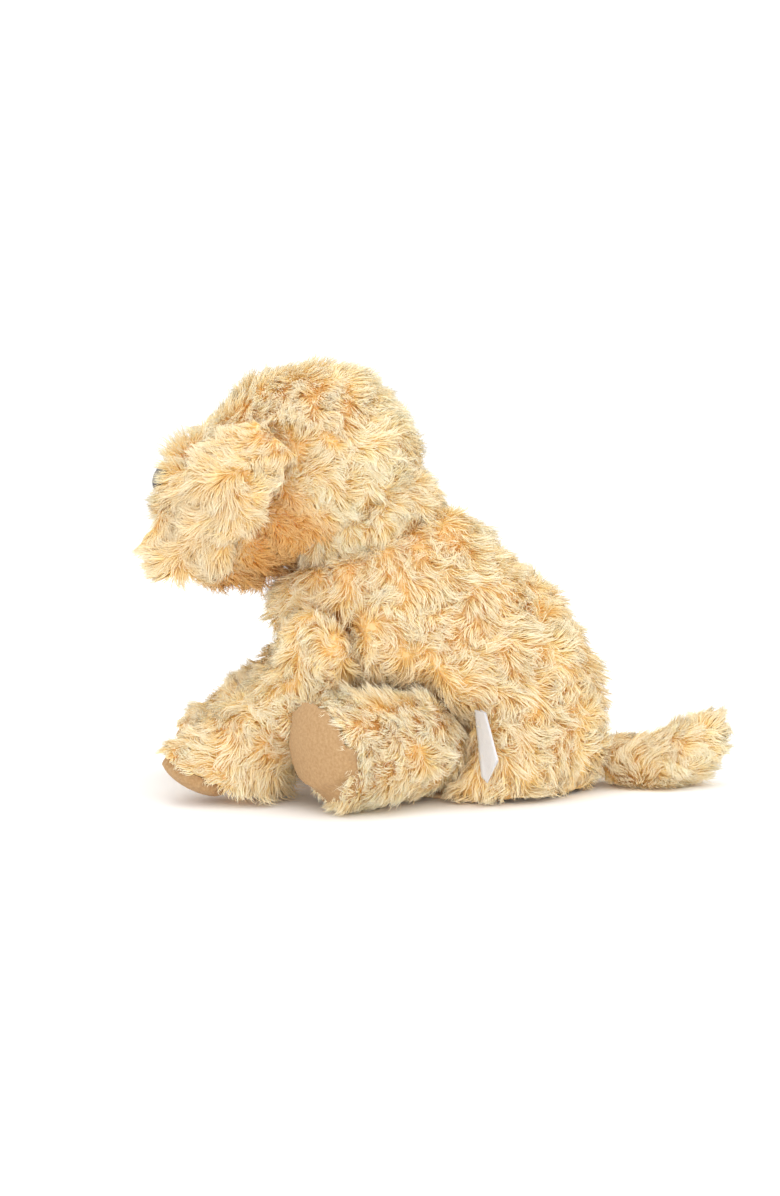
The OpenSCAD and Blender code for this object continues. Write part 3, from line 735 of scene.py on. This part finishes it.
# ---------------------------------------------------------------- limbs, ears, tail
for side, m in (("left", 1), ("right", -1)):
    mir = np.array([m, 1, 1])
    sh, hip, hd = SHOULDER * mir, HIP * mir, HIND * mir
    # front leg
    b = f"front_leg_{side}"
    ob = union_skin(b + "_skin", [b + "_fur", b + "_filling"], 0.0035, 4)

    def depth(V, N, sh=sh):
        return 0.0042 * smooth01((V - sh) @ FRONT, -0.016, 0.004)

    inset(ob, depth)
    V, F = mesh_arrays(ob.data)
    back = unit([0, 0.707, -0.707])
    t = (V - sh) @ FRONT
    along = smooth01(t, -0.004, 0.036) * (1 - smooth01(t, 0.088, 0.104))
    V = V + np.array([0, 0.92, -0.38]) * (0.015 * along * smooth01((V - sh) @ back, -0.006, 0.018))[:, None]
    slim = smooth01(t, -0.013, 0.014) * (1 - 0.34 * smooth01(t, 0.036, 0.070)) * (1 - smooth01(t, 0.078, 0.098))
    V = V + back * (0.0055 * smooth01(t, -0.030, -0.012) * (1 - smooth01(t, 0.020, 0.045)) * smooth01((V - sh) @ back, -0.004, 0.018))[:, None]
    V = V + back * (0.0175 * slim * smooth01(-((V - sh) @ back), -0.006, 0.020))[:, None]
    V = V + np.array([0, -0.0052, 0.0010]) * smooth01(t, 0.070, 0.098)[:, None]
    V[:, 2] = np.maximum(V[:, 2], 0.0015)
    set_coords(ob.data, V)
    inflate(ob, 0.001)
    finish_skin(ob, b, [b + "_fur", b + "_filling"])
    end = np.array([m * 52, -172, 14.9]) * MM
    down = unit([0, -0.454, -0.891])

    def leg_weight(P, N, sh=sh, end=end, down=down, m=m):
        w = np.ones(len(P))
        w[((P - end) @ down > -0.0055) & (N @ down > 0.6)] = 0.0  # the sole
        w[((P - end) @ down > -0.0040)] = 0.0
        w[((P - sh) @ FRONT < -0.012) & (N[:, 0] * m < 0.1)] = 0.25
        return w

    def leg_trim(P, N, sh=sh, end=end, down=down, m=m):
        f = 0.55 + 0.45 * smooth01((P - sh) @ FRONT, -0.024, 0.004)
        f = np.maximum(f, 0.95 * smooth01(N[:, 0] * m, 0.1, 0.5))
        heel = smooth01(N @ unit([0, 0.6, -0.8]), 0.2, 0.8) * smooth01(-((P - end) @ down), 0.004, 0.014)
        f = f * (1 + 0.55 * heel * (N[:, 0] * m > -0.4))
        return np.minimum(f, 0.45 + 1.1 * smooth01(-((P - end) @ down), 0.004, 0.024))

    grow(b + "_fur", ob, 16000, b, const_comb([0.1 * m, -0.6, -0.75]), length=14.5, lock=4.0, swirl=1.8, swirl_scale=19, whorl=22,
         seed=21 + m, weight=leg_weight, trim=leg_trim)

    # hind leg
    b = f"hind_leg_{side}"
    ob = union_skin(b + "_skin", [b + "_fur", b + "_filling"], 0.0035, 4)

    def depth(V, N, hip=hip, hd=hd):
        return 0.0042 * smooth01((V - hip) @ hd, -0.016, 0.004)

    inset(ob, depth)
    V, F = mesh_arrays(ob.data)
    set_coords(ob.data, V + hd * (0.0035 * smooth01((V - hip) @ hd, 0.020, 0.052))[:, None])
    inflate(ob, 0.001)
    finish_skin(ob, b, [b + "_fur", b + "_filling"])
    end = hip + 0.0655 * hd

    def leg_weight(P, N, hip=hip, hd=hd, end=end, m=m):
        w = np.ones(len(P))
        w[((P - end) @ hd > -0.0065) & (N @ hd > 0.8)] = 0.0
        w[((P - hip) @ hd < -0.014) & (N[:, 0] * m < 0.1)] = 0.2
        return w

    def leg_trim(P, N, hip=hip, hd=hd, end=end, m=m):
        f = 0.75 + 0.25 * smooth01((P - hip) @ hd, -0.026, 0.0)
        f = np.maximum(f, 0.95 * smooth01(N[:, 0] * m, 0.1, 0.5))
        front = smooth01(-N[:, 1], 0.1, 0.6)  # short where it meets the front of the sole
        return np.minimum(f, (0.85 - 0.4 * front) + (0.15 + 0.4 * front) * smooth01(-((P - end) @ hd), 0.002, 0.020))

    grow(b + "_fur", ob, 16000, b, const_comb(hd * 0.8 + np.array([0, 0, -0.5])), length=15, lock=4.0, swirl=1.9, swirl_scale=19, whorl=22,
         # painted light: the hind-leg fur is made lighter and creamier to stand in for the light it catches
         tint=lambda P: np.tile([1.01, 1.03, 1.07], (len(P), 1)),
         seed=31 + m, weight=leg_weight, trim=leg_trim)

    # ear
    b = f"ear_{side}"
    ob = union_skin(b + "_skin", [b + "_fur", b + "_lining"], 0.0025, 4)
    inset(ob, 0.0022)
    ec, ed, eo, ea = EAR * mir, EAR_DIR * mir, EAR_OUT * mir * 1.0, EAR_AXIS * mir
    if eo[0] * m < 0:
        eo = -eo
    # the ear hangs a little forward of its pattern and stands off the cheek
    V, F = mesh_arrays(ob.data)
    s = (V - ec) @ ed
    k = smooth01(s, 0.0, 0.100)
    V = V + np.array([0, 0.0035, -0.0065]) * k[:, None] + eo * (0.0035 * smooth01(s, 0.005, 0.03))[:, None]
    a = (V - ec) @ ea
    low = smooth01(s, 0.066, 0.092)[:, None]
    V = V + low * (smooth01(a, -0.004, 0.014)[:, None] * np.array([0, -0.0038, -0.0008])
                   + (1 - smooth01(a, -0.022, -0.002))[:, None] * np.array([0, 0, 0.0035]))
    set_coords(ob.data, V)
    finish_skin(ob, b, [b + "_fur", b + "_lining"])

    def ear_trim(P, N, ec=ec, ed=ed, eo=eo):
        f = np.where(N @ eo > -0.35, 1.0, 0.42)
        return f * (0.6 + 0.4 * smooth01((P - ec) @ ed, 0.0, 0.02))

    def ear_comb(P, N, ec=ec, ed=ed, eo=eo):
        mid = ec + ed * 0.062
        return ed * 1.1 + unit(P - mid) * 0.6 + np.array([0, 0.15, -0.2])

    grow(b + "_fur", ob, 18000, b, ear_comb, length=16, lock=4.6, swirl=1.1, swirl_scale=26, seed=41 + m,
         tint=lambda P: np.tile([0.975, 0.94, 0.90], (len(P), 1)),
         trim=ear_trim, lift=(56, 4), whorl=30)

# tail
ob = union_skin("tail_skin", ["tail_fur", "tail_filling"], 0.0025, 3)
inset(ob, lambda V, N: 0.0035 * smooth01(V[:, 1], 0.066, 0.080))
inflate(ob, 0.0008)
V, F = mesh_arrays(ob.data)
V[:, 2] -= 0.0062 * smooth01(V[:, 1], 0.070, 0.092)
V[:, 1] -= 0.0025 * smooth01(V[:, 1], 0.095, 0.138)
V[:, 2] = np.maximum(V[:, 2], 0.0015)
set_coords(ob.data, V)
finish_skin(ob, "tail", ["tail_fur", "tail_filling"])


def tail_comb(P, N):
    up = smooth01(P[:, 1], 0.100, 0.132)[:, None]
    return np.array([0, 1.0, -0.05]) * (1 - up) + np.array([0, 0.7, 0.6]) * up


def tail_trim(P, N):
    return (0.55 + 0.45 * smooth01(P[:, 1], 0.066, 0.080)) * (1 + 0.12 * smooth01(P[:, 1], 0.122, 0.138))


grow("tail_fur", ob, 13000, "tail", tail_comb, length=14, lock=4.4, swirl=1.5, swirl_scale=22, seed=51, trim=tail_trim, stray=0.18)

# ---------------------------------------------------------------- neck sleeve
def revolve(name, profile, centre, axis, n=72):
    """Closed ring skin: profile is a loop of (radius, height) points."""
    x = np.array([1.0, 0, 0])
    y = np.cross(axis, x)
    V, F = [], []
    k = len(profile)
    for i in range(n):
        t = 2 * math.pi * i / n
        d = math.cos(t) * x + math.sin(t) * y
        for r, h in profile:
            V.append(centre + d * r * MM + axis * h * MM)
    for i in range(n):
        for j in range(k):
            F.append([i * k + j, ((i + 1) % n) * k + j, ((i + 1) % n) * k + (j + 1) % k, i * k + (j + 1) % k])
    me = bpy.data.meshes.new(name)
    me.from_pydata([tuple(v) for v in V], [], F)
    bm = bmesh.new()
    bm.from_mesh(me)
    bmesh.ops.recalc_face_normals(bm, faces=bm.faces)
    bm.to_mesh(me)
    bm.free()
    return new_object(name, me)


outer = [(35, -14), (38, -12), (40, -8), (41, -3), (41, 2), (40, 7), (38, 12), (34, 16)]
inner = [(30, 15), (31, 8), (32, 0), (31, -8), (30, -13)]
sleeve = revolve("neck_skin", outer + inner, NECK, NECK_AXIS)
sub_d = sleeve.modifiers.new("subdivision", "SUBSURF")
sub_d.levels = sub_d.render_levels = 1
dg = bpy.context.evaluated_depsgraph_get()
me = bpy.data.meshes.new_from_object(sleeve.evaluated_get(dg))
sleeve.modifiers.clear()
sleeve.data = me
paint(sleeve, M_BACK)
for p in me.polygons:
    p.use_smooth = True


def sleeve_weight(P, N):
    r = (P - NECK) - NECK_AXIS * ((P - NECK) @ NECK_AXIS)[:, None]
    return (np.sum(unit(r) * N, 1) > 0.0).astype(float)


neck_fur = grow("neck_fur", sleeve, 14000, None, torso_comb, length=12, lock=4.2, swirl=2.0, swirl_scale=20, seed=61,
                weight=sleeve_weight, lift=(58, 2))
for ob in [sleeve] + neck_fur:
    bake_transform(ob)
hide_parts("neck_filling")

# ---------------------------------------------------------------- soles and seat
def copy_cloth(name, node_name, voxel, cap, body, mat, change=None):
    ob = union_skin(name, [node_name], voxel, 3)
    V, F = mesh_arrays(ob.data)
    if change is not None:
        set_coords(ob.data, change(V))
    if cap:
        inflate(ob, cap, frames=12)
    s = ob.modifiers.new("subdivision", "SUBSURF")
    s.levels = s.render_levels = 1
    dg = bpy.context.evaluated_depsgraph_get()
    me = bpy.data.meshes.new_from_object(ob.evaluated_get(dg))
    ob.modifiers.clear()
    ob.data = me
    V, _ = mesh_arrays(me)
    V[:, 2] = np.maximum(V[:, 2], 0.0004)
    set_coords(me, V)
    paint(ob, mat)
    for p in me.polygons:
        p.use_smooth = True
    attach(ob, body)
    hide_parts(node_name)
    return ob


for side, m in (("left", 1), ("right", -1)):
    mir = np.array([m, 1, 1])
    hd = HIND * mir
    end = HIP * mir + 0.062 * hd
    reach = 0.0035
    up = np.array([0, 0, 1.0])
    across = np.cross(up, hd)

    def hind_change(V, end=end, hd=hd, across=across, m=m):
        q = V - end
        x, z, d = q @ across, q @ np.array([0, 0, 1.0]), q @ hd
        lean = math.radians(9) * m
        x, z = x * math.cos(lean) - z * math.sin(lean), x * math.sin(lean) + z * math.cos(lean)
        x, z = x * 1.16, z * 1.04
        r = np.sqrt((x / 0.028) ** 2 + (z / 0.030) ** 2)
        d = d + 0.0055 * np.maximum(0, 1 - r ** 2) * (d > 0) - 0.0052 * (d < 0.0009) + reach
        return end + across * x[:, None] + np.array([0, 0, 1.0]) * z[:, None] + hd * d[:, None]

    copy_cloth(f"hind_sole_{side}", f"hind_leg_{side}_sole", 0.002, 0.0015, f"hind_leg_{side}", M_SUEDE, hind_change)

    fe = np.array([m * 52, -172, 14.9]) * MM
    fd = unit([0, -0.454, -0.891])

    def front_change(V, fe=fe, fd=fd):
        q = V - fe
        d = q @ fd
        flat = q - fd * d[:, None]
        r = np.linalg.norm(flat, axis=1) / 0.0212
        return fe + flat * 1.07 + fd * (d * 1.25 + 0.0042 * (d > 0) * np.maximum(0, 1 - r ** 2) - 0.0052 * (d < 0.0009))[:, None] + np.array([0, -0.0015, 0.0012])

    copy_cloth(f"front_sole_{side}", f"front_leg_{side}_sole", 0.002, 0.0018, f"front_leg_{side}", M_SUEDE, front_change)

copy_cloth("seat_cloth", "seat_panel", 0.003, 0, "torso", M_SEAT,
           lambda V: (V - [V[:, 0].mean(), V[:, 1].mean(), 0]) * [0.84, 0.85, 1] + [V[:, 0].mean(), V[:, 1].mean(), 0])

# ---------------------------------------------------------------- care label
def label_strip(name, w, l, root, swing, curl, tip, thick=0.0004):
    """A thin woven strip, hanging from its seam: it turns out by swing degrees towards its free end."""
    nu, nv = 8, 24
    V = []
    for sgn in (1, -1):
        for j in range(nv + 1):
            v = j / nv
            for i in range(nu + 1):
                u = i / nu
                cut = l * (1 - tip * abs(u - 0.25) / 0.75 if u > 0.25 else 1 - tip * 0.25 * (0.25 - u) / 0.25)
                y = (u - 0.5) * w
                a = math.radians(swing[0] + (swing[1] - swing[0]) * v)
                fold = 0.0007 * math.sin(u * 5.1 + v * 4.0) * v
                x = y * math.sin(a) + curl * v * v + fold
                yy = y * math.cos(a)
                p = root + np.array([x + sgn * thick / 2 * math.cos(a), yy - sgn * thick / 2 * math.sin(a), -v * cut])
                q = p - root  # slanted, its lower end to the back
                t = math.radians(10)
                V.append(tuple(root + np.array([q[0], q[1] * math.cos(t) - q[2] * math.sin(t), q[2] * math.cos(t) + q[1] * math.sin(t)])))
    k = (nu + 1) * (nv + 1)
    F = []
    for j in range(nv):
        for i in range(nu):
            a = j * (nu + 1) + i
            F.append([a, a + 1, a + nu + 2, a + nu + 1])
            F.append([k + a + nu + 1, k + a + nu + 2, k + a + 1, k + a])
    rim = [(0, i) for i in range(nu)] + [(j, nu) for j in range(nv)] + [(nv, i) for i in range(nu, 0, -1)] + [(j, 0) for j in range(nv, 0, -1)]
    idx = [j * (nu + 1) + i for j, i in rim]
    for a, b in zip(idx, idx[1:] + idx[:1]):
        F.append([b, a, k + a, k + b])
    me = bpy.data.meshes.new(name)
    me.from_pydata(V, [], F)
    bm = bmesh.new()
    bm.from_mesh(me)
    bmesh.ops.recalc_face_normals(bm, faces=bm.faces)
    bm.to_mesh(me)
    bm.free()
    ob = new_object(name, me)
    for p in me.polygons:
        p.use_smooth = len(p.vertices) == 4 and p.area > 2e-7
    paint(ob, M_SATIN)
    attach(ob, "care_label")
    return ob


LABEL = np.array([79.5, -8.6, 57.5]) * MM
leaf = label_strip("care_label_leaf", 0.019, 0.042, LABEL, (74, 55), 0.004, 0.36)
insert = label_strip("care_label_insert", 0.015, 0.037, LABEL + np.array([-0.8, 2.0, 0]) * MM, (80, 62), 0.001, 0.22)
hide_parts("care_label")
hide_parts("label_insert")

# ---------------------------------------------------------------- carried-over CAD nodes
for n in NODES:
    ob = NODES[n]
    if n.endswith("_filling"):
        paint(ob, M_FILL)
    elif n.endswith("_sole"):
        paint(ob, M_SUEDE)
    elif n in ("eye_left", "eye_right"):
        paint(ob, M_EYE)
    elif n == "nose":
        paint(ob, M_NOSE)
    elif n in ("eye_washers", "nose_washer"):
        paint(ob, M_WASHER)
    elif n == "bean_pouch":
        paint(ob, M_POUCH)
    elif n == "bean_pellets":
        paint(ob, M_PELLET)
    elif n == "seat_panel":
        paint(ob, M_SEAT)
    elif n in ("care_label", "label_insert"):
        paint(ob, M_SATIN)

# ---------------------------------------------------------------- stage, light, camera
floor_m, nt, bs = material("floor_paper")
tc = nt.nodes.new("ShaderNodeTexCoord")
nz = node(nt, "ShaderNodeTexNoise", Scale=6.0, Detail=2.0)
nt.links.new(tc.outputs["Object"], nz.inputs["Vector"])
rr = ramp(nt, nz.outputs["Fac"], [(0.3, (0.955, 0.955, 0.95)), (0.7, (0.97, 0.97, 0.965))])
nt.links.new(rr.outputs["Color"], bs.inputs["Base Color"])
bs.inputs["Roughness"].default_value = 0.9
bs.inputs["Specular IOR Level"].default_value = 0.0
bm = bmesh.new()
bmesh.ops.create_grid(bm, x_segments=2, y_segments=2, size=6.0)
me = bpy.data.meshes.new("floor")
bm.to_mesh(me)
bm.free()
floor = new_object("floor", me)
me.materials.append(floor_m)

world = bpy.data.worlds.new("studio")
SC.world = world
world.use_nodes = True
bg = world.node_tree.nodes["Background"]
bg.inputs["Color"].default_value = (1.0, 1.0, 1.0, 1)
bg.inputs["Strength"].default_value = 1.24


def area_light(name, pos, aim, size, power, colour=(1, 1, 1)):
    li = bpy.data.lights.new(name, "AREA")
    li.shape = "RECTANGLE"
    li.size, li.size_y = size
    li.energy = power
    li.color = colour
    ob = bpy.data.objects.new(name, li)
    COLL.objects.link(ob)
    ob.location = pos
    ob.rotation_euler = (Vector(aim) - Vector(pos)).to_track_quat("-Z", "Y").to_euler()
    return ob


area_light("key", (2.0, 0.45, 1.05), (0, -0.05, 0.1), (1.8, 1.4), 6, (1.0, 0.985, 0.96))
area_light("fill", (1.7, -0.55, 0.22), (0.06, -0.07, 0.04), (0.9, 0.4), 3.5, (1.0, 0.97, 0.92))
area_light("top", (0.2, -0.1, 1.9), (0, -0.03, 0.1), (1.6, 1.6), 9, (1.0, 0.99, 0.975))

CAM_D = 1.6
EL = math.radians(6.5)
aim = Vector((0, -0.060, 0.1138))
cam_data = bpy.data.cameras.new("camera")
cam = bpy.data.objects.new("camera", cam_data)
COLL.objects.link(cam)
cam.location = aim + Vector((math.cos(EL), 0, math.sin(EL))) * CAM_D
cam.rotation_euler = (aim - cam.location).to_track_quat("-Z", "Y").to_euler()
cam_data.sensor_fit = "VERTICAL"
cam_data.angle = 2 * math.atan(0.5 * 1196 * 0.0006 / CAM_D)
cam_data.clip_end = 50
SC.camera = cam
SC.view_settings.view_transform = "Standard"
if hasattr(SC, "cycles"):
    SC.cycles.max_bounces = 20
    SC.cycles.diffuse_bounces = 20  # light passes through the pile many times, which keeps its shadows warm
